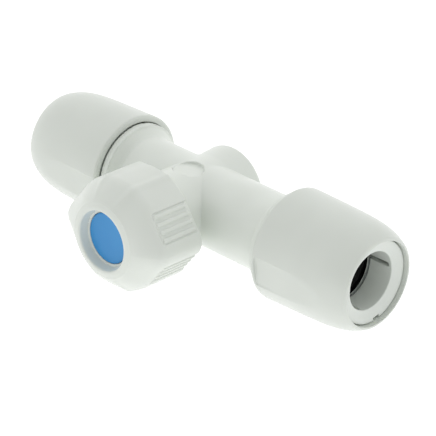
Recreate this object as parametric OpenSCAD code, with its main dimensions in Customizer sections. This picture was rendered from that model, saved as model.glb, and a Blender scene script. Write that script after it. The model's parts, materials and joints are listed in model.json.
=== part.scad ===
// Push-fit stop valve for 22 mm pipe.
// A straight run along X with a push-fit socket at each end, and a screw-down
// valve across it along Y. The knob faces -Y and +Z is up.
// Lengths are in millimetres.

/* [Pipe] */
// Outside diameter of the pipe that pushes in
pipe_d = 22; // [21.9:0.1:22.1]
// Gap between the pipe and the socket wall, all round
pipe_gap = 0.1; // [0.08:0.01:0.12]

/* [Body] */
// Half the length of the run, from its middle to the mouth of each cap
half_length = 82.3; // [82:0.1:84]
// How far the valve axis stands to the left of the middle of the run
valve_offset = 6; // [5:0.5:7]
// Outside radius of the run tube
tube_r = 15.1; // [14.8:0.1:15.2]
// Outside radius of the barrel that holds the valve
barrel_r = 15.6; // [15.4:0.1:16]
// Radius of the waterway
water_r = 7; // [6:0.1:7.2]
// Radius of the barrel's closed end
boss_r = 16.4; // [16:0.1:16.8]
// How far the closed end of the barrel stands behind the run axis
barrel_back = 17.6; // [17.4:0.1:18]
// How far the barrel reaches in front of the run axis
barrel_front = 28; // [27.6:0.1:28.4]
// Radius of the flange beside each cap
flange_r = 18.9; // [18.5:0.1:19.2]

/* [Caps] */
// Largest outside radius of a cap
cap_r = 21.7; // [21.4:0.1:22]
// Outside radius of a cap at its mouth
cap_mouth_r = 17.2; // [17:0.1:18]

/* [Knob] */
// Radius of the round part of the knob
knob_r = 21.8; // [21:0.1:22]
// Radius out to the tip of each of the two lobes
lobe_r = 25.4; // [24.6:0.1:26]
// Distance from the run axis to the front of the knob
knob_front = 50.2; // [50.2:0.1:51]
// Distance from the run axis to the back of the knob
knob_rear = 24; // [23.5:0.1:24.5]
// Height that the valve lifts from shut to open
lift = 5; // [4:0.1:5]

/* [Hidden] */
$fn = 96;

// Clearances
run_gap = 0.05;     // a shaft turning or sliding in its hole
free_gap = 0.3;     // faces that pass each other without touching

// Where the origin is: the middle of the outline, on the surface that the valve lies on
shift_y = (knob_front - cap_r) / 2;
shift_z = knob_r;
valve_x = -valve_offset;

// Pipe socket: places along the run, measured from its middle
socket_r = pipe_d / 2 + pipe_gap;
mouth_x = half_length;
stop_x = 51.5;          // the pipe's end stops here
seal_x = 60.2;          // start of the O-ring's groove
seal_w = 3.9;           // thickness of the O-ring
spacer_x = seal_x + seal_w + 0.05;
spacer_w = 1.6;
sleeve_end = 66;        // end of the body under the cap
groove_r = 15.1;        // radius of the O-ring's groove
sleeve_r = 17.4;        // outside of the body under the cap
flange_x0 = 38.3;
flange_x1 = 40.4;
flare = 3;              // length over which the run tube widens to the flange

boss_edge = 0.8;        // chamfer round the barrel's closed end

// Bayonet lugs that hold a cap on the body
lug_r = 18.6;
lug_x = 55;
lug_w = 3;
lug_angle = 50;
lug_play = 3;           // the entry slots are wider than the lugs by this angle on each side

// Cap
cap_start = 40.85;
cap_len = half_length - cap_start;
cap_bore = sleeve_r + run_gap;
cap_waist = 0.42;       // share of the cap's length that is nearly straight
cap_taper = 0.3;        // how much narrower the cap is at its waist
cap_bevel_r = 0.9;      // bevel round the cap's open end
cap_bevel_x = 1.2;
cap_power = 2.1;        // how late the cap is drawn in to its mouth
curve_steps = 8;
shoulder_x = sleeve_end + 0.3;
throat_x = 74;
throat_r = 12.95;
throat_slope = 2.6;     // length of the cone that squeezes the collet
ring_seat_x = 76.1;
ring_seat_r = 16.2;
head_room_r = 14.8;
panel_r = 20.45;        // distance from the run axis to each grip flat
panel_start = 42.3;
panel_end = 74;
panel_half_w = 5.9;
panel_turn = 99;        // angle of the first grip flat, from the top towards the knob
panel_count = 2;

// Collet
collet_r = throat_r - run_gap;
collet_push = 1.5;      // travel of the collet into the cap
collet_gap = 0.25;      // room left between the collet and the spacer when pushed in
collet_x0 = spacer_x + spacer_w + collet_push + collet_gap;
head_r = 14.2;
head_w = 3;
head_bevel = 1;
ring_r = 15.9;
ring_x0 = 77.8;
ring_x1 = 80.4;
ring_land = 0.7;        // flat rim of the ring's face
dish = 1.6;             // how far the ring's face dips towards the bore
slit_w = 1.6;
slit_count = 3;
slit_turn = 40;
slit_end = 77.4;
notch_w = 3;            // two small notches in the ring's edge
notch_turn = 10;
notch_depth = 1;
notch_reach = 1.2;
tooth_x = collet_x0 + 0.4;  // groove in the collet's bore that holds the grab ring
tooth_w = 0.8;
tooth_reach = 1.1;

// Valve across the run: heights are measured from the run axis towards the knob
seat_h = 1;             // floor of the upper chamber
seat_ring_r = 8;
orifice_r = 5.5;
seat_top = 2.6;
seat_slope = 1.1;       // width of the sloping side of the seat
chamber_r = 10.5;
lower_r = 6;
lower_depth = 14;
port_r = 4.5;
boss_taper_end = 7;     // the barrel widens behind this distance from the run axis
port_start = 20;
// Ends of each port, as [along the run, backwards from the run axis]
inlet_port = [[-port_start - 4, 1], [-2.5, 10.2]];
outlet_port = [[port_start + 4, -1], [4, -9]];
pocket_r = 5.8;         // shallow round pocket on top of the barrel
pocket_y = 6.6;
pocket_z = 14.2;
bonnet_h = 14;          // lower face of the bonnet
bonnet_flange_r = 13.4;
bonnet_flange_t = 2.8;
hex_r = 11.5;
hex_h = 2.4;
rebate_h = 2.2;         // rebate in the bonnet for its seal
rebate_w = 1.5;
seal_slack = 0.02;      // how much thinner a seal is than its groove
bonnet_top = barrel_front + bonnet_flange_t + hex_h;
spindle_r = 5;
gland_r = 7.4;
gland_h = 2.2;
gland_flange_r = 9;
gland_plug_h = 1;
gland_nut_h = 2.4;
drive_w = 6.8;          // across the flats of the spindle's square end
drive_h = 35.6;         // where the square end starts
spindle_top = 40.4;
collar_r = 7;
collar_h1 = bonnet_h - lift - 0.4;  // the collar stops under the bonnet when the valve is open
collar_h0 = collar_h1 - 2;
seal_heights = [18, 22];
seal_groove_w = 2;
seal_groove_d = 1.4;

// Jumper
washer_r = 7;
washer_t = 2;
washer_h = seat_top + run_gap;
plate_r = 7.6;
plate_t = 1.5;
plate_h = washer_h + washer_t;
stem_r = 2.5;
stem_top = 11;
pin_r = 1.5;
pin_h = 2.4;            // how far the pin stands out below the washer
nut_r = 3.2;
nut_t = 1.8;

// Knob
knob_cavity_r = 17.5;
cavity_top = 39.6;
dome_start = 41.5;      // where the sides begin to turn into the domed front
flat_r = 21.7;          // distance from the valve axis to each ribbed flat
dome_power = 0.62;
dish_r = 11.6;          // opening in the middle of the front
dish_rim = 0.8;         // flat rim round that opening
dish_floor_r = 11.1;
dish_draft = 0.15;
disc_r = 9.8;
disc_front = 46.7;
disc_t = 1.5;
hub_r = 7.6;
screw_r = 2;
screw_head_r = 3.6;
screw_head_h = 2.2;
screw_reach = 7;        // how far the screw goes into the spindle
screw_slot_w = 0.8;
screw_slot_d = 1.1;
rib_count = 4;
rib_len = 16;
rib_w = 1.6;
rib_pitch = 3;
rib_height = 0.7;
rib_start = 25.5;
rib_shift = 4.7;        // the ribs sit nearer to the tip of the lobe than to the flat's foot
panel_angle = 37;       // direction that each ribbed flat faces

// ---- Helpers -------------------------------------------------------------

// A turned shape along +X: points are [distance along X, radius]
module turned_x(points) {
    rotate([0, 90, 0]) rotate_extrude() polygon([for (p = points) [p[1], p[0]]]);
}

// A cylinder along +X from x0 to x1
module rod_x(x0, x1, r) {
    translate([x0, 0, 0]) rotate([0, 90, 0]) cylinder(h = x1 - x0, r = r);
}

// Stands what is drawn along +Z on the valve axis, so that up is towards the knob
module valve_axis() {
    translate([valve_x, 0, 0]) rotate([90, 0, 0]) children();
}

// A ring standing on the valve axis between two heights
module washer_ring(h0, h1, outer, inner) {
    translate([0, 0, h0]) difference() {
        cylinder(h = h1 - h0, r = outer);
        translate([0, 0, -1]) cylinder(h = h1 - h0 + 2, r = inner);
    }
}

module o_ring(middle_r, thickness) {
    rotate_extrude() translate([middle_r, 0]) circle(d = thickness, $fn = 32);
}

// The left end is the mirror image of the right end
module left_end() {
    mirror([1, 0, 0]) children();
}

// Moves the whole valve, so that the origin is under the middle of its outline
module place() {
    translate([0, shift_y, shift_z]) children();
}

// ---- Body ----------------------------------------------------------------

module socket_outside() {
    turned_x([[flange_x0 - flare, 0], [flange_x0 - flare, tube_r], [flange_x0, flange_r],
        [flange_x1, flange_r], [flange_x1, sleeve_r], [sleeve_end, sleeve_r], [sleeve_end, 0]]);
    intersection() {
        rod_x(lug_x, lug_x + lug_w, lug_r);
        translate([lug_x - 1, 0, 0]) rotate([90, 0, 90]) linear_extrude(lug_w + 2)
            for (side = [0, 180]) rotate(side)
                polygon([[0, 0], 30 * [cos(lug_angle / 2), -sin(lug_angle / 2)],
                    30 * [cos(lug_angle / 2), sin(lug_angle / 2)]]);
    }
}

module socket_inside() {
    rod_x(stop_x, sleeve_end + 1, socket_r);
    rod_x(seal_x - 0.05, sleeve_end + 1, groove_r);
}

// The waterway reaches in from each socket to where a port begins
module waterway() {
    rod_x(valve_x + port_start, stop_x + 1, water_r);
    rod_x(-stop_x - 1, valve_x - port_start, water_r);
}

// A port slants from the run's waterway to a chamber on the valve axis
module port(from, to) {
    run = to - from;
    translate([valve_x + from[0], from[1], 0]) rotate([0, 0, atan2(run[1], run[0])]) rotate([0, 90, 0])
        cylinder(h = norm(run), r = port_r);
}

module valve_body() color("#d9ddd8") difference() {
    union() {
        rod_x(-flange_x0, flange_x0, tube_r);
        valve_axis() rotate_extrude() polygon([[0, -barrel_back], [boss_r - boss_edge, -barrel_back],
            [boss_r, -barrel_back + boss_edge], [barrel_r, -boss_taper_end],
            [barrel_r, barrel_front], [0, barrel_front]]);
        socket_outside();
        left_end() socket_outside();
    }
    socket_inside();
    left_end() socket_inside();
    waterway();
    port(inlet_port[0], inlet_port[1]);
    port(outlet_port[0], outlet_port[1]);
    translate([valve_x, -pocket_y, pocket_z]) cylinder(h = 3, r = pocket_r);
    valve_axis() {
        translate([0, 0, -lower_depth]) cylinder(h = lower_depth + seat_h, r = lower_r);
        translate([0, 0, -seat_h]) cylinder(h = seat_h + 1, r = seat_ring_r);
        translate([0, 0, seat_h]) cylinder(h = barrel_front, r = chamber_r);
    }
}

module seat_ring() color("#b5a642") valve_axis() rotate_extrude()
    polygon([[orifice_r, -seat_h], [seat_ring_r, -seat_h], [seat_ring_r, seat_h],
        [orifice_r + seat_slope, seat_top], [orifice_r, seat_top]]);

// ---- Headgear ------------------------------------------------------------

module bonnet() color("#c2a24e") valve_axis() difference() {
    union() {
        translate([0, 0, bonnet_h]) cylinder(h = barrel_front - bonnet_h, r = chamber_r);
        translate([0, 0, barrel_front]) cylinder(h = bonnet_flange_t, r = bonnet_flange_r);
        translate([0, 0, barrel_front + bonnet_flange_t]) cylinder(h = hex_h, r = hex_r, $fn = 6);
    }
    translate([0, 0, bonnet_h - 1]) cylinder(h = bonnet_top, r = spindle_r + run_gap);
    translate([0, 0, bonnet_top - gland_h]) cylinder(h = gland_h + 1, r = gland_r);
    translate([0, 0, barrel_front - rebate_h]) difference() {
        cylinder(h = rebate_h, r = chamber_r + 1);
        translate([0, 0, -1]) cylinder(h = rebate_h + 2, r = chamber_r - rebate_w);
    }
}

module bonnet_seal() color("#1c1c1c") valve_axis()
    translate([0, 0, barrel_front - rebate_h / 2]) o_ring(chamber_r - rebate_w / 2, rebate_w - seal_slack);

module gland_nut() color("#c2a24e") valve_axis() difference() {
    union() {
        translate([0, 0, bonnet_top - gland_plug_h]) cylinder(h = gland_plug_h + 0.1, r = gland_r - run_gap);
        translate([0, 0, bonnet_top]) cylinder(h = gland_nut_h, r = gland_flange_r, $fn = 6);
    }
    translate([0, 0, bonnet_top - gland_plug_h - 1]) cylinder(h = gland_nut_h + 3, r = spindle_r + run_gap);
}

module gland_seal() color("#1c1c1c") valve_axis()
    washer_ring(bonnet_top - gland_h, bonnet_top - gland_plug_h, gland_r - run_gap, spindle_r + run_gap);

module spindle() color("#c9a85a") valve_axis() difference() {
    union() {
        translate([0, 0, collar_h0]) cylinder(h = collar_h1 - collar_h0, r = collar_r);
        translate([0, 0, collar_h1]) cylinder(h = drive_h - collar_h1, r = spindle_r);
        translate([-drive_w / 2, -drive_w / 2, drive_h])
            cube([drive_w, drive_w, spindle_top - drive_h]);
    }
    translate([0, 0, collar_h0 - 1])
        cylinder(h = stem_top + free_gap - collar_h0 + 1, r = stem_r + run_gap);
    translate([0, 0, spindle_top - screw_reach - 1]) cylinder(h = screw_reach + 2, r = screw_r);
    for (h = seal_heights) translate([0, 0, h - seal_groove_w / 2]) difference() {
        cylinder(h = seal_groove_w, r = spindle_r + 1);
        translate([0, 0, -1]) cylinder(h = seal_groove_w + 2, r = spindle_r - seal_groove_d);
    }
}

module spindle_seals() color("#1c1c1c") valve_axis()
    for (h = seal_heights) translate([0, 0, h])
        o_ring(spindle_r - (seal_groove_d + seal_slack) / 2, seal_groove_d - seal_slack);

module jumper() color("#c9a85a") valve_axis() union() {
    translate([0, 0, plate_h]) cylinder(h = plate_t, r = plate_r);
    translate([0, 0, plate_h + 1]) cylinder(h = stem_top - plate_h - 1, r = stem_r);
    translate([0, 0, washer_h - pin_h]) cylinder(h = plate_h - washer_h + pin_h + 1, r = pin_r);
}

module jumper_washer() color("#1c1c1c") valve_axis()
    washer_ring(washer_h, washer_h + washer_t, washer_r, pin_r);

module washer_nut() color("#c9a85a") valve_axis() translate([0, 0, washer_h - nut_t]) difference() {
    cylinder(h = nut_t, r = nut_r, $fn = 6);
    translate([0, 0, -1]) cylinder(h = nut_t + 2, r = pin_r);
}

// ---- Knob ----------------------------------------------------------------

// A round grip drawn out into a lobe on each side, whose flanks are flat
module knob_prism() {
    corner = flat_r / cos(panel_angle);
    foot = flat_r * [cos(panel_angle), sin(panel_angle)];
    cylinder(h = knob_front, r = knob_r);
    intersection() {
        cylinder(h = knob_front, r = lobe_r);
        linear_extrude(knob_front) for (side = [0, 180]) rotate(side)
            polygon([[0, 0], [foot[0], -foot[1]], [corner, 0], foot]);
    }
}

// The domed front, turned: it also sets how the lobes run into the front
module knob_dome() {
    rim = lobe_r + 1;
    edge = dish_r + dish_rim;
    rise = knob_front - dome_start;
    rotate_extrude() polygon(concat(
        [[0, knob_rear], [rim, knob_rear], [rim, dome_start]],
        [for (i = [1 : curve_steps]) let (t = i / curve_steps)
            [edge + (rim - edge) * pow(1 - t, dome_power), dome_start + rise * t]],
        [[0, knob_front]]));
}

module knob_shell() {
    intersection() {
        knob_prism();
        knob_dome();
    }
}

module rib_panels() {
    for (side = [0, 180], face = [-1, 1]) rotate(side + face * panel_angle)
        for (i = [0 : rib_count - 1]) {
            across = (i - (rib_count - 1) / 2) * rib_pitch - face * rib_shift;
            translate([flat_r - 1, across - rib_w / 2, rib_start]) cube([1 + rib_height, rib_w, rib_len]);
        }
}

module knob() color("#e2e5e1") valve_axis() difference() {
    union() {
        difference() {
            knob_shell();
            translate([0, 0, knob_rear - 1]) cylinder(h = cavity_top - knob_rear + 1, r = knob_cavity_r);
        }
        rib_panels();
        translate([0, 0, drive_h + 1]) cylinder(h = cavity_top - drive_h, r = hub_r);
    }
    translate([-drive_w / 2, -drive_w / 2, drive_h]) cube([drive_w, drive_w, spindle_top - drive_h]);
    translate([0, 0, spindle_top - 1]) cylinder(h = 10, r = screw_r);
    translate([0, 0, disc_front - disc_t - screw_head_h]) cylinder(h = screw_head_h + 1, r = screw_head_r);
    translate([0, 0, disc_front - disc_t]) cylinder(h = disc_t + 1, r = disc_r);
    translate([0, 0, disc_front]) cylinder(h = 10, r1 = dish_floor_r, r2 = dish_floor_r + 10 * dish_draft);
}

module knob_screw() color("#b9bcc0") valve_axis() difference() {
    head_low = disc_front - disc_t - screw_head_h;
    shank_low = spindle_top - screw_reach;
    union() {
        translate([0, 0, head_low]) cylinder(h = screw_head_h - 0.1, r = screw_head_r);
        translate([0, 0, shank_low]) cylinder(h = head_low + 1 - shank_low, r = screw_r);
    }
    translate([-screw_slot_w / 2, -screw_head_r, disc_front - disc_t - screw_slot_d])
        cube([screw_slot_w, 2 * screw_head_r, 2]);
}

module indicator_disc() color("#4f96d0") valve_axis()
    translate([0, 0, disc_front - disc_t]) cylinder(h = disc_t, r = disc_r);

// ---- Push-fit end --------------------------------------------------------

// Outside of a cap: nearly straight at first, then drawn in to the mouth
module cap_outside() {
    shoulder = cap_start + cap_waist * cap_len;
    shoulder_r = cap_r - cap_taper;
    reach = mouth_x - shoulder;
    turned_x(concat(
        [[cap_start, 0], [cap_start, cap_r - cap_bevel_r], [cap_start + cap_bevel_x, cap_r],
            [shoulder, shoulder_r]],
        [for (i = [1 : curve_steps]) let (t = i / curve_steps)
            [shoulder + reach * t, shoulder_r - (shoulder_r - cap_mouth_r) * pow(t, cap_power)]],
        [[mouth_x, 0]]));
}

// Shallow flats around the cap give the fingers a grip
module grip_flats() {
    for (i = [0 : panel_count - 1]) rotate([panel_turn + i * 360 / panel_count, 0, 0])
        translate([panel_start, -panel_half_w, panel_r])
            cube([panel_end - panel_start, 2 * panel_half_w, 3]);
}

module cap() color("#d9ddd8") difference() {
    entry_angle = lug_angle / 2 + lug_play;
    cap_outside();
    grip_flats();
    rod_x(cap_start - 1, shoulder_x, cap_bore);
    rod_x(lug_x - free_gap, lug_x + lug_w + free_gap, lug_r + free_gap);
    intersection() {
        rod_x(cap_start - 1, lug_x, lug_r + free_gap);
        translate([cap_start - 2, 0, 0]) rotate([90, 0, 90]) linear_extrude(lug_x)
            for (side = [90, 270]) rotate(side)
                polygon([[0, 0], 30 * [cos(entry_angle), -sin(entry_angle)],
                    30 * [cos(entry_angle), sin(entry_angle)]]);
    }
    turned_x([[shoulder_x - 1, 0], [shoulder_x - 1, head_room_r], [throat_x - throat_slope, head_room_r],
        [throat_x, throat_r], [ring_seat_x + 1, throat_r], [ring_seat_x + 1, 0]]);
    rod_x(ring_seat_x, mouth_x + 1, ring_seat_r);
}

module collet() color("#e6e9e5") difference() {
    turned_x([[collet_x0, socket_r], [collet_x0, head_r - head_bevel], [collet_x0 + head_bevel, head_r],
        [collet_x0 + head_w, head_r], [collet_x0 + head_w + 1, collet_r], [ring_x0, collet_r],
        [ring_x0, ring_r], [ring_x1, ring_r], [ring_x1, ring_r - ring_land], [ring_x1 - dish, socket_r]]);
    for (i = [0 : slit_count - 1]) rotate([i * 360 / slit_count + slit_turn, 0, 0])
        translate([collet_x0 - 1, -slit_w / 2, 5]) cube([slit_end - collet_x0 + 1, slit_w, 12]);
    for (side = [0, 180]) rotate([side + notch_turn, 0, 0])
        translate([ring_x1 - notch_reach, -notch_w / 2, ring_r - notch_depth]) cube([3, notch_w, 3]);
    rod_x(tooth_x, tooth_x + tooth_w, socket_r + tooth_reach);
}

// Thin steel ring that bites into the pipe, in one segment for each finger of the collet
module grab_ring() color("#c4c7cb") difference() {
    rod_x(tooth_x + 0.1, tooth_x + tooth_w - 0.1, socket_r + tooth_reach - 0.1);
    rod_x(collet_x0, collet_x0 + 4, socket_r + 0.05);
    for (i = [0 : slit_count - 1]) rotate([i * 360 / slit_count + slit_turn, 0, 0])
        translate([collet_x0, -slit_w / 2 - free_gap, 5]) cube([4, slit_w + 2 * free_gap, 12]);
}

module spacer() color("#1c1c1c") difference() {
    rod_x(spacer_x, spacer_x + spacer_w, groove_r - run_gap);
    rod_x(spacer_x - 1, spacer_x + 3, socket_r + 0.2);
}

module pipe_o_ring() color("#161616") translate([seal_x + seal_w / 2, 0, 0]) rotate([0, 90, 0])
    o_ring(socket_r + 0.05 + seal_w / 2, seal_w);

// ---- The valve -----------------------------------------------------------

place() valve_body();
place() seat_ring();
place() bonnet();
place() bonnet_seal();
place() gland_nut();
place() gland_seal();
place() spindle();
place() spindle_seals();
place() jumper();
place() jumper_washer();
place() washer_nut();
place() knob();
place() knob_screw();
place() indicator_disc();
place() cap();  // right_cap
place() collet();  // right_collet
place() grab_ring();  // right_grab_ring
place() spacer();  // right_spacer
place() pipe_o_ring();  // right_o_ring
place() left_end() cap();  // left_cap
place() left_end() collet();  // left_collet
place() left_end() grab_ring();  // left_grab_ring
place() left_end() spacer();  // left_spacer
place() left_end() pipe_o_ring();  // left_o_ring
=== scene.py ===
"""Looks for the push-fit stop valve: body, knob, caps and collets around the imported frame.

Shapes are written as signed distance fields in millimetres, measured from the middle of the
run, and meshed here. Heights along the valve axis are measured from the run axis towards the
knob, which faces -Y. The soft values round the edge where two shapes meet.
"""

import json
import math

import bpy
import numpy as np
from mathutils import Matrix, Vector


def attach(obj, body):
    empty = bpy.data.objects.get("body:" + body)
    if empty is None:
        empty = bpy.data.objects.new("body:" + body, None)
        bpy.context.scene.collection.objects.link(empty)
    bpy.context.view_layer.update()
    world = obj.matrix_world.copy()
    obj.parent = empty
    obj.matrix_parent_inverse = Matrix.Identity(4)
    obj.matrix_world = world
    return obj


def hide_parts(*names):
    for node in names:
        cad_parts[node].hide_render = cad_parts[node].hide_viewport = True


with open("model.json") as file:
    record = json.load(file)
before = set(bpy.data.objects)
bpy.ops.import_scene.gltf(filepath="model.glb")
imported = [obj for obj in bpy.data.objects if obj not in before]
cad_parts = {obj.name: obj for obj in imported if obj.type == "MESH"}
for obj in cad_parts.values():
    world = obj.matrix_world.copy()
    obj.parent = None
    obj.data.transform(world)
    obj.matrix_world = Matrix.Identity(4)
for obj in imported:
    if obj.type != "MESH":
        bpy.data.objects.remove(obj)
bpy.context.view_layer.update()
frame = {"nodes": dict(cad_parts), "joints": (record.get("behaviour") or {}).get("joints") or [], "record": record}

MM = 0.001
JOINTS = {joint["name"]: joint for joint in frame["joints"]}
PIVOT = np.array(JOINTS["knob_turn"]["pos_m"]) / MM
ORIGIN = np.array([0.0, PIVOT[1], PIVOT[2]])
VALVE_X = PIVOT[0]


# ---- Distance fields ---------------------------------------------------------


def blend(a, b, soft):
    """Smooth union of two fields."""
    h = np.clip(0.5 + 0.5 * (b - a) / soft, 0, 1)
    return b * (1 - h) + a * h - soft * h * (1 - h)


def both(a, b, soft=0.2):
    """Smooth intersection: the edge between the two is rounded."""
    return -blend(-a, -b, soft)


def cut(a, b, soft=0.3):
    """a with b taken away, the edge rounded."""
    return -blend(-a, b, soft)


def slab(t, low, high):
    return np.abs(t - (low + high) / 2) - (high - low) / 2


def rod(radius_at, radius, t, low, high, soft=0.2):
    return both(radius_at - radius, slab(t, low, high), soft)


def run_coordinates(p):
    return p[..., 0], p[..., 1], p[..., 2], np.hypot(p[..., 1], p[..., 2])


def turned(y, z, turn):
    """Across and outward from the run axis in the direction that is turn away from the top."""
    return y * math.cos(turn) + z * math.sin(turn), z * math.cos(turn) - y * math.sin(turn)


def valve_coordinates(p):
    """Sideways from the valve axis, upwards, along it towards the knob, and distance from it."""
    side, up = p[..., 0] - VALVE_X, p[..., 2]
    return side, up, -p[..., 1], np.hypot(side, up)


# ---- Body --------------------------------------------------------------------

TUBE_R, TUBE_HALF, BARREL_R, WATER_R, SOCKET_R = 15.1, 39.5, 15.6, 7.0, 11.1
BARREL_BACK, BARREL_FRONT, BOSS_R, TAPER_END = -17.6, 28.0, 16.4, -7
BARREL_FRONT_SOFT, BARREL_BACK_SOFT, JUNCTION_SOFT = 0.4, 1.3, 0.3
FLANGE_X, FLANGE_R = (37.7, 40.55), 18.9
FLARE_X, FLARE_R, FLARE_SLANT, FLARE_SOFT = (35.1, 38.1), 18.5, 0.65, 0.9
SLEEVE_R, SLEEVE_X, STOP_X = 17.4, (38, 66.0), 51.5
GROOVE_R, GROOVE_X = 15.1, 60.15
OPEN_X = 70  # past the end of the body
LUG_R, LUG_X, LUG_HALF_ANGLE = 18.6, (55.0, 58.0), math.radians(25)
CHAMBER_R, CHAMBER_HEIGHT, SEAT_R, SEAT_HEIGHT = 10.5, (1, 30), 8.0, (-1, 1.2)
LOWER_R, LOWER_HEIGHT = 6.0, (-14.0, 1.2)
PORTS = (((-24.0, 1.0), (-2.5, 10.2)), ((24.0, -1.0), (4.0, -9.0)))
PORT_R, PORT_START = 4.5, 20.0
POCKET_R, POCKET_Y, POCKET_Z = 5.8, -6.6, (14.2, 40)


def port(p, start, end):
    start, end = np.array([VALVE_X + start[0], start[1]]), np.array([VALVE_X + end[0], end[1]])
    along = (end - start) / np.linalg.norm(end - start)
    dx, dy = p[..., 0] - start[0], p[..., 1] - start[1]
    t = dx * along[0] + dy * along[1]
    off = np.hypot(dx * along[1] - dy * along[0], p[..., 2])
    return rod(off, PORT_R, t, 0, np.linalg.norm(end - start))


def body_field(p):
    x, y, z, run = run_coordinates(p)
    side, _, height, around = valve_coordinates(p)
    end = np.abs(x)
    tube = rod(run, TUBE_R, x, -TUBE_HALF, TUBE_HALF)
    taper = np.interp(height, [BARREL_BACK, TAPER_END], [BOSS_R, BARREL_R])
    barrel = both(around - taper, height - BARREL_FRONT, BARREL_FRONT_SOFT)
    barrel = both(barrel, BARREL_BACK - height, BARREL_BACK_SOFT)
    solid = blend(tube, barrel, JUNCTION_SOFT)
    flare = (run - np.interp(end, FLARE_X, [TUBE_R, FLARE_R])) * FLARE_SLANT
    solid = blend(solid, both(flare, slab(end, FLARE_X[0], FLANGE_X[1])), FLARE_SOFT)
    solid = blend(solid, rod(run, FLANGE_R, end, *FLANGE_X, soft=0.25), 0.3)
    solid = both(solid, end - FLANGE_X[1], 0.1)
    sleeve = rod(run, SLEEVE_R, end, *SLEEVE_X, soft=0.5)
    lug = rod(run, LUG_R, end, *LUG_X, soft=0.3)
    spread = np.abs(z) * math.cos(LUG_HALF_ANGLE) - np.abs(y) * math.sin(LUG_HALF_ANGLE)
    solid = blend(blend(solid, sleeve, 0.4), both(lug, spread, 0.4), 0.4)
    around_pocket = np.hypot(side, y - POCKET_Y)
    solid = cut(solid, rod(around_pocket, POCKET_R, z, *POCKET_Z, soft=0.5))
    hollow = rod(run, SOCKET_R, end, STOP_X, OPEN_X)
    hollow = np.minimum(hollow, rod(run, GROOVE_R, end, GROOVE_X, OPEN_X))
    hollow = np.minimum(hollow, rod(run, WATER_R, x, VALVE_X + PORT_START, STOP_X + 1))
    hollow = np.minimum(hollow, rod(run, WATER_R, x, -STOP_X - 1, VALVE_X - PORT_START))
    for start, stop in PORTS:
        hollow = np.minimum(hollow, port(p, start, stop))
    hollow = np.minimum(hollow, rod(around, LOWER_R, height, *LOWER_HEIGHT))
    hollow = np.minimum(hollow, rod(around, SEAT_R, height, *SEAT_HEIGHT))
    hollow = np.minimum(hollow, rod(around, CHAMBER_R, height, *CHAMBER_HEIGHT))
    return cut(solid, hollow, 0.25)


# ---- Caps and collets, drawn for the right-hand end ---------------------------

CAP_START, MOUTH_X, CAP_R = 40.85, 82.3, 21.7
CAP_DRAW, CAP_NOSE, CAP_NOSE_POWER = 1.0, 3.6, 7
CAP_START_SOFT, CAP_MOUTH_SOFT = 1.2, 0.8
CAP_BORE, SHOULDER_X, OUTSIDE_X = 17.45, 66.3, (30, 90)
THROAT_R, HEAD_ROOM_R, THROAT_SLOPE_X, THROAT_SLANT = 13.05, 14.8, (71.4, 74.0), 0.85
RING_SEAT_X, RING_SEAT_R = 76.1, 16.2
GRIP_R, GRIP_X, GRIP_HALF_W = 20.45, (42.3, 74.0), 5.9
GRIP_TURNS = [math.radians(99 + 180 * i) for i in range(2)]
LUG_ROOM_R, LUG_ROOM_X, ENTRY_END = 18.9, (54.7, 58.3), 55
ENTRY_HALF_ANGLE = LUG_HALF_ANGLE + math.radians(3)
RELIEF_R, RELIEF_END = 19.05, 44.0
KEYWAY_R, KEYWAY_HALF_W, KEYWAY_X = 16.6, 2.8, (67.5, 76.6)
COLLET_R, HEAD_R, COLLET_X, HEAD_END = 12.75, 14.2, 67.5, 70.7
TOOTH_R, TOOTH_X = 12.2, (67.9, 68.7)
RING_R, RING_X = 15.9, (77.8, 80.4)
DISH_SLOPE, DISH_EDGE_R, DISH_SLANT = 0.39, 15.2, 0.93
SLIT_HALF_W, SLIT_END = 0.85, 77.4
SLIT_TURNS = [math.radians(40 + 120 * i) for i in range(3)]
SLIT_INNER = 5  # a slit and the room behind it stay on their own side of the axis
NOTCH_TURN, NOTCH_HALF_W, NOTCH_R, NOTCH_X = math.radians(10), 1.5, 14.9, 79.2


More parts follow.
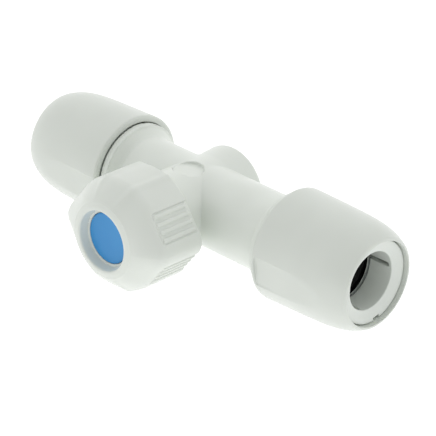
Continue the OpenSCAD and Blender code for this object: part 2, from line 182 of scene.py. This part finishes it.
def cap_field(p):
    x, y, z, run = run_coordinates(p)
    t = np.clip((x - CAP_START) / (MOUTH_X - CAP_START), 0, 1.05)
    outline = CAP_R - CAP_DRAW * t - CAP_NOSE * t**CAP_NOSE_POWER
    slope = CAP_DRAW + CAP_NOSE * CAP_NOSE_POWER * t ** (CAP_NOSE_POWER - 1)
    slope = slope / (MOUTH_X - CAP_START)
    solid = both((run - outline) / np.sqrt(1 + slope**2), CAP_START - x, CAP_START_SOFT)
    solid = both(solid, x - MOUTH_X, CAP_MOUTH_SOFT)
    for turn in GRIP_TURNS:
        across, outward = turned(y, z, turn)
        flat = both(GRIP_R - outward, slab(across, -GRIP_HALF_W, GRIP_HALF_W), 0.4)
        solid = cut(solid, both(flat, slab(x, *GRIP_X), 0.5), 0.3)
    hollow = rod(run, CAP_BORE, x, OUTSIDE_X[0], SHOULDER_X)
    hollow = np.minimum(hollow, rod(run, RELIEF_R, x, OUTSIDE_X[0], RELIEF_END))
    hollow = np.minimum(hollow, rod(run, LUG_ROOM_R, x, *LUG_ROOM_X))
    entry = np.abs(y) * math.cos(ENTRY_HALF_ANGLE) - np.abs(z) * math.sin(ENTRY_HALF_ANGLE)
    entry = both(rod(run, LUG_ROOM_R, x, OUTSIDE_X[0], ENTRY_END), entry)
    hollow = np.minimum(hollow, entry)
    throat = (run - np.interp(x, THROAT_SLOPE_X, [HEAD_ROOM_R, THROAT_R])) * THROAT_SLANT
    throat = both(throat, slab(x, SHOULDER_X - 1, RING_SEAT_X + 1))
    hollow = np.minimum(hollow, throat)
    hollow = np.minimum(hollow, rod(run, RING_SEAT_R, x, RING_SEAT_X, OUTSIDE_X[1]))
    for turn in SLIT_TURNS:
        across, outward = turned(y, z, turn)
        keyway = both(np.abs(across) - KEYWAY_HALF_W, run - KEYWAY_R)
        keyway = both(keyway, slab(x, *KEYWAY_X))
        hollow = np.minimum(hollow, np.maximum(keyway, SLIT_INNER - outward))
    return cut(solid, hollow, 0.2)


def collet_field(p):
    x, y, z, run = run_coordinates(p)
    solid = rod(run, HEAD_R, x, COLLET_X, HEAD_END, 0.6)
    solid = blend(solid, rod(run, COLLET_R, x, COLLET_X, RING_X[0] + 1), 0.4)
    ring = rod(run, RING_R, x, *RING_X, soft=0.3)
    dish = x - RING_X[1] + DISH_SLOPE * (DISH_EDGE_R - run)
    ring = both(ring, dish * DISH_SLANT, 0.4)
    solid = blend(solid, ring, 0.3)
    hollow = rod(run, SOCKET_R, x, *OUTSIDE_X)
    hollow = np.minimum(hollow, rod(run, TOOTH_R, x, *TOOTH_X, soft=0.1))
    for turn in SLIT_TURNS:
        across, outward = turned(y, z, turn)
        slit = both(np.abs(across) - SLIT_HALF_W, x - SLIT_END, 0.5)
        hollow = np.minimum(hollow, np.maximum(slit, SLIT_INNER - outward))
    across, outward = turned(y, z, NOTCH_TURN)
    notch = both(NOTCH_R - np.abs(outward), NOTCH_X - x)
    notch = both(slab(across, -NOTCH_HALF_W, NOTCH_HALF_W), notch)
    return cut(solid, np.minimum(hollow, notch))


# ---- Knob --------------------------------------------------------------------

KNOB_R, LOBE_R, KNOB_FRONT, KNOB_REAR = 21.75, 25.4, 50.2, 24.0
FLANK, FLANK_R, LOBE_SOFT = math.radians(37), 21.75, 1.6
# The facets above and below: places and widths in degrees, the dip and the ridge in mm
FACET_CENTRE, FACET_DIP, FACET_DIP_W = 90, 0.4, 13.0
FACET_EDGE, FACET_RIDGE, FACET_RIDGE_W = 19.5, 0.5, 4.0
DOME_START, LOBE_RISE, DOME_POWER, DOME_SLANT = 42.1, 1.3, 1.61, 0.72
DOME_SOFT, DOME_SWELL = 1.7, 0.1  # the swell makes up for what the soft edge takes away
DOME_INSET = (-0.2, 1)  # from just outside the outline to the rim of the dish
DISH_R, DISH_RIM, DISH_FLOOR_R, DISH_DRAFT = 11.4, 0.8, 10.7, 0.26
DISC_R, DISC_FRONT, DISC_T, DISC_SAG, DISC_PLAY = 9.75, 46.7, 1.5, 0.12, 0.1
DISC_BACK, OUTSIDE_HEIGHT = DISC_FRONT - DISC_T, 52
CAVITY_R, CAVITY_HEIGHT, HUB_R, HUB_HEIGHT = 17.5, (10, 39.6), 7.6, (36.6, 40.1)
DRIVE_HALF_W, DRIVE_HEIGHT = 3.4, (34.6, 40.4)
SCREW_R, SCREW_HEIGHT, SCREW_HEAD_R, SCREW_HEAD_HEIGHT = 2.0, (39, 50), 3.6, (43, 46)
RIB_TOP_R, RIB_ROOT, RIB_HALF_W, RIBS = 22.1, 2.2, 0.8, (-9.2, -6.2, -3.2, -0.2)
RIB_HEIGHT, RIB_POCKET_HEIGHT = (25.3, 41.2), (22.3, 41.5)
RIB_POCKET, RIB_POCKET_DEPTH = (-10.6, 1.2), 0.3
RING_LINE_R, RING_LINE_W, RING_LINE_H = 14.6, 0.35, 0.18


def flank_coordinates(side, up):
    """Outward from the valve axis towards the nearest of the four flanks, and along that flank."""
    side, up = np.abs(side), np.abs(up)
    outward = side * math.cos(FLANK) + up * math.sin(FLANK)
    return outward, up * math.cos(FLANK) - side * math.sin(FLANK)


def knob_outline(side, up, around):
    """Distance outside the knob's outline, and the outline's radius in that direction."""
    degrees = np.degrees(np.arctan2(np.abs(up), np.abs(side)))
    off = FACET_CENTRE - degrees
    ridge = FACET_RIDGE * np.exp(-(((off - FACET_EDGE) / FACET_RIDGE_W) ** 2))
    dip = FACET_DIP * np.exp(-((off / FACET_DIP_W) ** 2))
    outward, _ = flank_coordinates(side, up)
    lobe = both(outward - FLANK_R, around - LOBE_R, LOBE_SOFT)
    outline = np.where(degrees < math.degrees(FLANK), lobe, around - (KNOB_R + ridge - dip))
    return outline, around - outline


def knob_dome(reach, around):
    """Height of the domed front, which rises from the outline to the rim of the dish."""
    inset = np.clip((reach - around) / (reach - DISH_R - DISH_RIM), *DOME_INSET)
    start = DOME_START + LOBE_RISE * np.clip((reach - KNOB_R) / (LOBE_R - KNOB_R), 0, 1)
    top = start + (KNOB_FRONT - start) * (1 - (1 - inset) ** DOME_POWER)
    return top + RING_LINE_H * np.exp(-(((around - RING_LINE_R) / RING_LINE_W) ** 2))


def knob_ribs(solid, outward, along, height):
    """The solid with its ribs, which stand in a shallow pocket of each flank."""
    pocket = both(slab(along, *RIB_POCKET), slab(height, *RIB_POCKET_HEIGHT), 0.6)
    solid = cut(solid, both(pocket, FLANK_R - RIB_POCKET_DEPTH - outward), 0.25)
    ribs = np.min([np.abs(along - place) for place in RIBS], axis=0) - RIB_HALF_W
    ribs = both(ribs, slab(height, *RIB_HEIGHT), 0.5)
    ribs = both(ribs, slab(outward, RIB_TOP_R - RIB_ROOT, RIB_TOP_R), 0.7)
    return blend(solid, ribs, 0.3)


def knob_field(p):
    side, up, height, around = valve_coordinates(p)
    outline, reach = knob_outline(side, up, around)
    dome = (height - knob_dome(reach, around)) * DOME_SLANT
    solid = both(outline - DOME_SWELL, dome, DOME_SOFT)
    solid = knob_ribs(solid, *flank_coordinates(side, up), height)
    solid = both(solid, KNOB_REAR - height, 0.7)
    solid = cut(solid, rod(around, CAVITY_R, height, *CAVITY_HEIGHT), 0.5)
    solid = blend(solid, rod(around, HUB_R, height, *HUB_HEIGHT), 0.4)
    square = np.maximum(np.abs(side), np.abs(up)) - DRIVE_HALF_W
    hollow = both(square, slab(height, *DRIVE_HEIGHT))
    hollow = np.minimum(hollow, rod(around, SCREW_R, height, *SCREW_HEIGHT))
    hollow = np.minimum(hollow, rod(around, SCREW_HEAD_R, height, *SCREW_HEAD_HEIGHT))
    disc_room = rod(around, DISC_R + DISC_PLAY, height, DISC_BACK, OUTSIDE_HEIGHT)
    hollow = np.minimum(hollow, disc_room)
    wall = DISH_FLOOR_R + DISH_DRAFT * np.maximum(height - DISC_FRONT, 0)
    hollow = np.minimum(hollow, both(around - wall, DISC_FRONT - DISC_PLAY - height))
    return cut(solid, hollow, 0.55)


def disc_field(p):
    _, _, height, around = valve_coordinates(p)
    sag = DISC_SAG * np.clip(1 - around / DISC_R, 0, 1)
    solid = both(around - DISC_R, height - DISC_FRONT + sag, 0.5)
    return both(solid, DISC_BACK - height)


# ---- Meshing -----------------------------------------------------------------

SETTLE_ROUNDS, SETTLE_SHARE, SETTLE_LIMIT = 4, 0.9, 0.6  # the limit and the reaches are in cells
SLOPE_REACH, NORMAL_REACH, FLATTEST = 0.08, 0.15, 0.05


def surface_net(field, low, high, step):
    """Quads on the field's zero surface, with a vertex in each grid cell that it crosses."""
    axes = [np.arange(low[i] - 1.5 * step, high[i] + 2 * step, step) for i in range(3)]
    value = field(np.stack(np.meshgrid(*axes, indexing="ij"), -1))
    inside = value < 0
    cells_shape = np.array(value.shape) - 1
    corners = [np.array([i, j, k]) for i in (0, 1) for j in (0, 1) for k in (0, 1)]
    count = np.zeros(cells_shape, np.int8)
    for corner in corners:
        window = tuple(slice(corner[i], corner[i] + cells_shape[i]) for i in range(3))
        count += inside[window]
    cells = np.argwhere((count > 0) & (count < 8))
    number = np.full(cells_shape, -1)
    number[tuple(cells.T)] = np.arange(len(cells))
    total, hits = np.zeros((len(cells), 3)), np.zeros(len(cells))
    for corner in corners:
        for axis in range(3):
            if corner[axis]:
                continue
            far = corner.copy()
            far[axis] = 1
            a, b = value[tuple((cells + corner).T)], value[tuple((cells + far).T)]
            crossed = (a < 0) != (b < 0)
            share = np.where(crossed, a / np.where(crossed, a - b, 1), 0)
            point = corner + share[:, None] * (far - corner)
            total += point * crossed[:, None]
            hits += crossed
    start = np.array([axis[0] for axis in axes])
    points = start + (cells + total / hits[:, None]) * step
    quads = []
    for axis in range(3):
        u, v = np.eye(3, dtype=int)[(axis + 1) % 3], np.eye(3, dtype=int)[(axis + 2) % 3]
        near = np.take(inside, range(inside.shape[axis] - 1), axis)
        far = np.take(inside, range(1, inside.shape[axis]), axis)
        edges = np.argwhere(near != far)
        leaving = near[tuple(edges.T)]
        sides = [s * u + t * v for s, t in ((1, 1), (0, 1), (0, 0), (1, 0))]
        ring = np.stack([number[tuple((edges - side).T)] for side in sides], 1)
        quads += [ring[leaving], ring[~leaving][:, ::-1]]
    return points, np.concatenate(quads)


def gradient(field, points, reach):
    slopes = []
    for axis in range(3):
        shift = np.zeros(3)
        shift[axis] = reach
        slopes.append((field(points + shift) - field(points - shift)) / (2 * reach))
    return np.stack(slopes, -1)


def settle(field, points, step):
    """Moves the points onto the surface, by less than a cell, and adds their normals."""
    home = points.copy()
    limit = SETTLE_LIMIT * step
    for _ in range(SETTLE_ROUNDS):
        slope = gradient(field, points, step * SLOPE_REACH)
        size = np.maximum((slope**2).sum(-1), FLATTEST)
        points = points - slope * (field(points) / size)[:, None] * SETTLE_SHARE
        points = home + np.clip(points - home, -limit, limit)
    slope = gradient(field, points, step * NORMAL_REACH)
    return points, slope / np.maximum(np.linalg.norm(slope, axis=-1), 1e-6)[:, None]


def moulded(field, low, high, step):
    points, quads = surface_net(field, low, high, step)
    points, normals = settle(field, points, step)
    return points, quads, normals


def mirrored(shape):
    points, quads, normals = shape
    flip = np.array([-1.0, 1.0, 1.0])
    return points * flip, quads[:, ::-1], normals * flip


def piece(name, shape, material, body, node):
    points, quads, normals = shape
    mesh = bpy.data.meshes.new(name)
    mesh.vertices.add(len(points))
    mesh.vertices.foreach_set("co", ((points + ORIGIN) * MM).astype(np.float32).ravel())
    mesh.loops.add(quads.size)
    mesh.loops.foreach_set("vertex_index", quads.astype(np.int32).ravel())
    mesh.polygons.add(len(quads))
    mesh.polygons.foreach_set("loop_start", np.arange(0, quads.size, 4, dtype=np.int32))
    mesh.polygons.foreach_set("use_smooth", np.ones(len(quads), bool))
    mesh.update(calc_edges=True)
    mesh.validate()
    mesh.normals_split_custom_set_from_vertices(normals.tolist())
    mesh.materials.append(material)
    obj = bpy.data.objects.new(name, mesh)
    bpy.context.scene.collection.objects.link(obj)
    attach(obj, body)
    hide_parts(node)
    return obj


# ---- Materials ---------------------------------------------------------------


def linear(red, green, blue):
    """An 8-bit display colour as the linear values that shaders take."""
    channels = [c / 255 for c in (red, green, blue)]
    channels = [c / 12.92 if c <= 0.04045 else ((c + 0.055) / 1.055) ** 2.4 for c in channels]
    return (*channels, 1.0)


class Finish:
    """A Principled material with procedural colour, roughness and bump, in object coordinates."""

    def __init__(self, name, roughness, metallic=0.0):
        self.material = bpy.data.materials.new(name)
        self.material.use_nodes = True
        self.nodes, self.links = self.material.node_tree.nodes, self.material.node_tree.links
        self.shader = self.nodes["Principled BSDF"]
        self.shader.inputs["Roughness"].default_value = roughness
        self.shader.inputs["Metallic"].default_value = metallic
        self.place = self.nodes.new("ShaderNodeTexCoord").outputs["Object"]

    def stretch(self, scale):
        node = self.nodes.new("ShaderNodeMapping")
        node.inputs["Scale"].default_value = scale
        self.links.new(self.place, node.inputs["Vector"])
        return node.outputs["Vector"]

    def noise(self, scale, detail, vector=None):
        node = self.nodes.new("ShaderNodeTexNoise")
        node.inputs["Scale"].default_value = scale
        node.inputs["Detail"].default_value = detail
        self.links.new(vector or self.place, node.inputs["Vector"])
        return node.outputs["Fac"]

    def colour(self, scale, low, high, detail=3.0):
        node = self.nodes.new("ShaderNodeValToRGB")
        for stop, place, colour in zip(node.color_ramp.elements, (0.35, 0.65), (low, high)):
            stop.position, stop.color = place, colour
        self.links.new(self.noise(scale, detail), node.inputs["Fac"])
        self.links.new(node.outputs["Color"], self.shader.inputs["Base Color"])

    def gloss(self, scale, low, high):
        node = self.nodes.new("ShaderNodeMapRange")
        node.inputs["To Min"].default_value = low
        node.inputs["To Max"].default_value = high
        self.links.new(self.noise(scale, 4.0), node.inputs["Value"])
        self.links.new(node.outputs["Result"], self.shader.inputs["Roughness"])

    def bump(self, source, depth, strength):
        node = self.nodes.new("ShaderNodeBump")
        node.inputs["Strength"].default_value = strength
        node.inputs["Distance"].default_value = depth
        self.links.new(source, node.inputs["Height"])
        self.links.new(node.outputs["Normal"], self.shader.inputs["Normal"])


def plastic(name, low, high, roughness=(0.29, 0.33), ior=1.5):
    """Satin injection-moulded plastic: faint flow mottle, patchy gloss and soft sink marks."""
    finish = Finish(name, sum(roughness) / 2)
    finish.shader.inputs["IOR"].default_value = ior
    finish.shader.inputs["Subsurface Weight"].default_value = 0.12
    finish.shader.inputs["Subsurface Radius"].default_value = (0.0012, 0.0012, 0.0010)
    finish.shader.inputs["Subsurface Scale"].default_value = 1.0
    finish.colour(60, low, high, 1.0)
    finish.gloss(250, *roughness)
    finish.bump(finish.noise(110, 1.0), 0.00002, 0.15)
    return finish.material


def rubber(name):
    finish = Finish(name, 0.65)
    finish.shader.inputs["Specular IOR Level"].default_value = 0.25
    finish.colour(300, linear(12, 13, 13), linear(20, 21, 20))
    finish.gloss(500, 0.55, 0.75)
    finish.bump(finish.noise(1800, 3.0), 0.00002, 0.6)
    return finish.material


def metal(name, low, high, roughness, stretch):
    """Machined metal with fine tool marks, closest together where stretch is largest."""
    finish = Finish(name, sum(roughness) / 2, 1.0)
    finish.colour(220, low, high)
    finish.gloss(700, *roughness)
    finish.bump(finish.noise(900, 2.0, finish.stretch(stretch)), 0.00001, 0.5)
    return finish.material


BODY = plastic("body_satin_plastic", linear(224, 229, 222), linear(228, 233, 226))
CAP = plastic("cap_satin_plastic", linear(213, 218, 211), linear(216, 221, 214))
KNOB = plastic("knob_satin_plastic", linear(219, 224, 217), linear(223, 228, 221))
COLLET = plastic("collet_acetal", linear(219, 224, 218), linear(223, 228, 222), (0.3, 0.36), 1.48)
BLUE = plastic("blue_satin_plastic", linear(40, 137, 202), linear(46, 142, 205), (0.29, 0.35))
RUBBER = rubber("greased_black_rubber")
# The spacer behind each collet is coloured near-black so the bore beyond the collet reads dark: painted shade
# standing in for the bore's depth.
BORE_SHADE_BLACK = plastic("spacer_black_painted_bore_shade", linear(14, 15, 16), linear(20, 21, 22), (0.5, 0.6))
BRASS_TONES = linear(186, 152, 88), linear(205, 172, 106)
BRASS = metal("turned_brass", *BRASS_TONES, (0.29, 0.38), (1, 6, 1))
STEEL_TONES = linear(178, 180, 184), linear(200, 202, 205)
STEEL = metal("stainless_steel", *STEEL_TONES, (0.29, 0.36), (6, 1, 1))

BY_SLOT = {
    "body_plastic": BODY,
    "cap_plastic": CAP,
    "knob_plastic": KNOB,
    "collet_plastic": COLLET,
    "blue_plastic": BLUE,
    "seal_rubber": RUBBER,
    "black_plastic": BORE_SHADE_BLACK,
    "brass": BRASS,
    "steel": STEEL,
}
NODE_SLOTS = {entry["node"]: entry["material_slot"] for entry in frame["record"]["subparts"]}
for node_name, node_object in frame["nodes"].items():
    for material_slot in node_object.material_slots:
        material_slot.material = BY_SLOT[NODE_SLOTS[node_name]]


# ---- Pieces, each meshed in a box that it just fits into ----------------------

BODY_STEP, CAP_STEP, COLLET_STEP, KNOB_STEP, DISC_STEP = 0.53, 0.42, 0.33, 0.4, 0.32

body_shape = moulded(body_field, (-66.5, -28.5, -19.2), (66.5, 18.5, 19.2), BODY_STEP)
piece("body_moulding", body_shape, BODY, "body", "valve_body")

cap_shape = moulded(cap_field, (CAP_START, -21.8, -21.8), (MOUTH_X, 21.8, 21.8), CAP_STEP)
collet_low, collet_high = (COLLET_X, -16, -16), (RING_X[1], 16, 16)
collet_shape = moulded(collet_field, collet_low, collet_high, COLLET_STEP)
for hand, cap_side, collet_side in (
    ("right", cap_shape, collet_shape),
    ("left", mirrored(cap_shape), mirrored(collet_shape)),
):
    node = f"{hand}_cap"
    piece(f"{node}_moulding", cap_side, CAP, f"{hand}_end_cap", node)
    node = f"{hand}_collet"
    piece(f"{node}_moulding", collet_side, COLLET, f"{hand}_release", node)

knob_low = (VALVE_X - 25.6, -KNOB_FRONT - 0.2, -22.4)
knob_high = (VALVE_X + 25.6, -KNOB_REAR + 0.2, 22.4)
knob_shape = moulded(knob_field, knob_low, knob_high, KNOB_STEP)
piece("knob_moulding", knob_shape, KNOB, "knob_assembly", "knob")

disc_low = (VALVE_X - 10.6, -DISC_FRONT, -10.6)
disc_high = (VALVE_X + 10.6, -DISC_FRONT + DISC_T, 10.6)
disc_shape = moulded(disc_field, disc_low, disc_high, DISC_STEP)
piece("colour_disc", disc_shape, BLUE, "knob_assembly", "indicator_disc")


# ---- Floor, light and camera ---------------------------------------------------

FLOOR_HALF = 3.0
FLOOR_DROP = 0.00005
FLOOR_GLOW = 1.13  # the floor lights itself and shows as white as the tent

floor_corners = ((-1, -1), (1, -1), (1, 1), (-1, 1))
floor_points = [(sx * FLOOR_HALF, sy * FLOOR_HALF, -FLOOR_DROP) for sx, sy in floor_corners]
floor_mesh = bpy.data.meshes.new("floor")
floor_mesh.from_pydata(floor_points, [], [(0, 1, 2, 3)])
floor = bpy.data.objects.new("floor", floor_mesh)
bpy.context.scene.collection.objects.link(floor)
floor_finish = Finish("white_sweep", 0.9)
floor_finish.colour(3, (0.04, 0.04, 0.04, 1), (0.05, 0.05, 0.05, 1))
floor_finish.shader.inputs["Specular IOR Level"].default_value = 0
floor_finish.shader.inputs["Emission Color"].default_value = (1, 1, 1, 1)
floor_finish.shader.inputs["Emission Strength"].default_value = FLOOR_GLOW
floor_mesh.materials.append(floor_finish.material)

world = bpy.data.worlds.new("studio")
bpy.context.scene.world = world
world.use_nodes = True
# A light tent: white behind and above, open and dimmer in front of the object
OPEN_SIDE = Vector((0.56, -0.78, 0.22)).normalized()
OPEN_FROM, TENT_LIGHT, OPEN_LIGHT = -0.2, 1.09, 0.58
world_nodes, world_links = world.node_tree.nodes, world.node_tree.links
towards = world_nodes.new("ShaderNodeVectorMath")
towards.operation = "DOT_PRODUCT"
towards.inputs[1].default_value = OPEN_SIDE
world_links.new(world_nodes.new("ShaderNodeTexCoord").outputs["Generated"], towards.inputs[0])
falloff = world_nodes.new("ShaderNodeMapRange")
falloff.interpolation_type = "SMOOTHSTEP"
falloff.inputs["From Min"].default_value = OPEN_FROM
falloff.inputs["From Max"].default_value = 1.0
falloff.inputs["To Min"].default_value = TENT_LIGHT
falloff.inputs["To Max"].default_value = OPEN_LIGHT
world_links.new(towards.outputs["Value"], falloff.inputs["Value"])
world_links.new(falloff.outputs["Result"], world_nodes["Background"].inputs["Strength"])
world_nodes["Background"].inputs["Color"].default_value = (1.0, 1.0, 1.0, 1)

# The camera looks at the middle of the run from DISTANCE, and is then shifted across its view
AZIMUTH, ELEVATION, ROLL = math.radians(43.521), math.radians(27.139), math.radians(2.171)
DISTANCE, SHIFT_RIGHT, SHIFT_UP = 809.96, 2.615, -4.831
FOCAL_IN_FRAMES, SENSOR = 4.98807, 36.0

right = np.array([math.cos(AZIMUTH), math.sin(AZIMUTH), 0])
level = np.array([math.sin(AZIMUTH), -math.cos(AZIMUTH), 0])
back = level * math.cos(ELEVATION) + np.array([0, 0, math.sin(ELEVATION)])
up = np.cross(back, right)
camera_right = right * math.cos(ROLL) + up * math.sin(ROLL)
camera_up = up * math.cos(ROLL) - right * math.sin(ROLL)
eye = back * DISTANCE + camera_right * SHIFT_RIGHT + camera_up * SHIFT_UP + ORIGIN

lens = bpy.data.cameras.new("camera")
lens.sensor_width = SENSOR
lens.lens = FOCAL_IN_FRAMES * SENSOR
lens.clip_start, lens.clip_end = 0.05, 20
camera = bpy.data.objects.new("camera", lens)
facing = Matrix(np.stack([camera_right, camera_up, back], 1).tolist())
camera.matrix_world = Matrix.Translation(Vector(eye * MM)) @ facing.to_4x4()
bpy.context.scene.collection.objects.link(camera)
bpy.context.scene.camera = camera
bpy.context.scene.view_settings.view_transform = "Standard"
